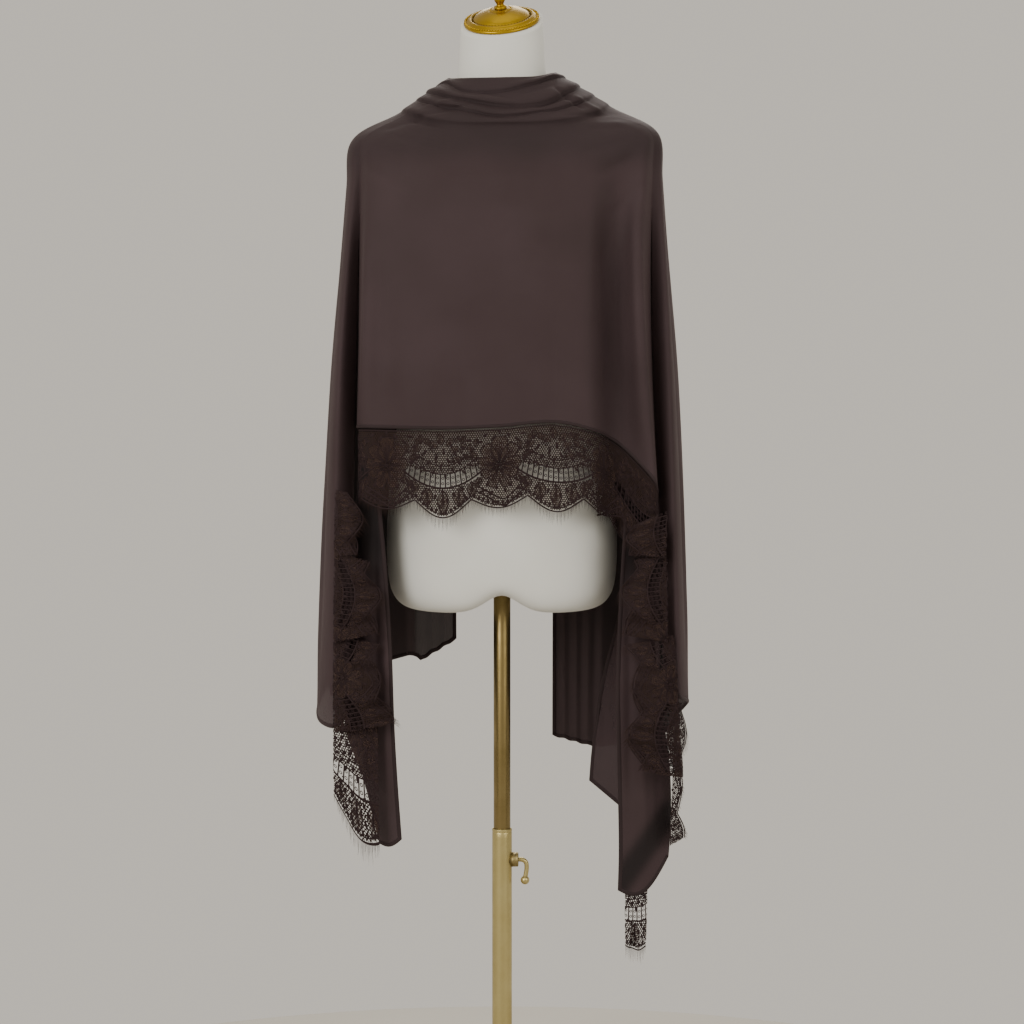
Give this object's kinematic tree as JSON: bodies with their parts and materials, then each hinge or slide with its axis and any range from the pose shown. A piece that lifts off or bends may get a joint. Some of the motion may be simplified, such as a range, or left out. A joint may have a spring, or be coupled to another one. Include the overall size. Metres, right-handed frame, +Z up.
{
  "type": "lace hijab on a limbless dress form with a pole stand",
  "caption": "Lace-trimmed chiffon hijab shawl draped in cowl folds over a limbless dress form, on a height-adjustable pole stand with a round base.",
  "frame": {"origin": "middle of the underside of the base plate, where the stand meets the floor", "axes": "+Z up along the pole, -Y out of the front of the form, +X to the right in the front view"},
  "size_m": [0.478, 0.32, 1.5875],
  "materials": {
    "chiffon": "matt crepe chiffon, dark brown, slightly sheer where single",
    "lace": "raschel galloon lace with eyelash fringe, darker brown",
    "form_cotton": "tight matt knit cover, off-white",
    "brass_tube": "satin brass-plated steel",
    "gilt_cap": "bright gilt, embossed"
  },
  "bodies": {
    "stand": {"base_plate": "brass_tube", "lower_tube": "brass_tube", "clamp_boss": "brass_tube"},
    "clamp": {"clamp_lever": "brass_tube"},
    "pole": {"upper_pole": "brass_tube"},
    "form": {"dress_form": "form_cotton", "neck_cap": "gilt_cap", "finial": "gilt_cap", "neck_fold_1": "chiffon", "neck_fold_2": "chiffon", "neck_fold_3": "chiffon", "neck_fold_4": "chiffon", "front_panel": "chiffon", "side_left": "chiffon", "side_right": "chiffon", "back_left": "chiffon", "back_right": "chiffon", "tail_left": "chiffon", "tail_right": "chiffon", "under_right": "chiffon", "lace_front": "lace", "lace_left_1": "lace", "lace_left_2": "lace", "lace_left_3": "lace", "lace_left_tail": "lace", "lace_right_1": "lace", "lace_right_2": "lace", "lace_right_3": "lace", "lace_right_side": "lace", "lace_right_tail": "lace", "lace_right_under": "lace", "fringe_front": "lace", "fringe_left_1": "lace", "fringe_left_2": "lace", "fringe_left_3": "lace", "fringe_left_tail": "lace", "fringe_right_1": "lace", "fringe_right_2": "lace", "fringe_right_3": "lace", "fringe_right_side": "lace", "fringe_right_tail": "lace"}
  },
  "joints": [
    {"name": "clamp_turn", "type": "hinge", "parent": "stand", "child": "clamp", "pos_m": [0.02, 0, 0.466], "axis": [1, 0, 0], "range_deg": [0, 180]},
    {"name": "height_slide", "type": "slide", "parent": "stand", "child": "pole", "axis": [0, 0, 1], "range_m": [-0.19, 0.15]},
    {"name": "form_swivel", "type": "hinge", "parent": "pole", "child": "form", "pos_m": [0, 0, 0.985], "axis": [0, 0, 1], "continuous": true}
  ]
}
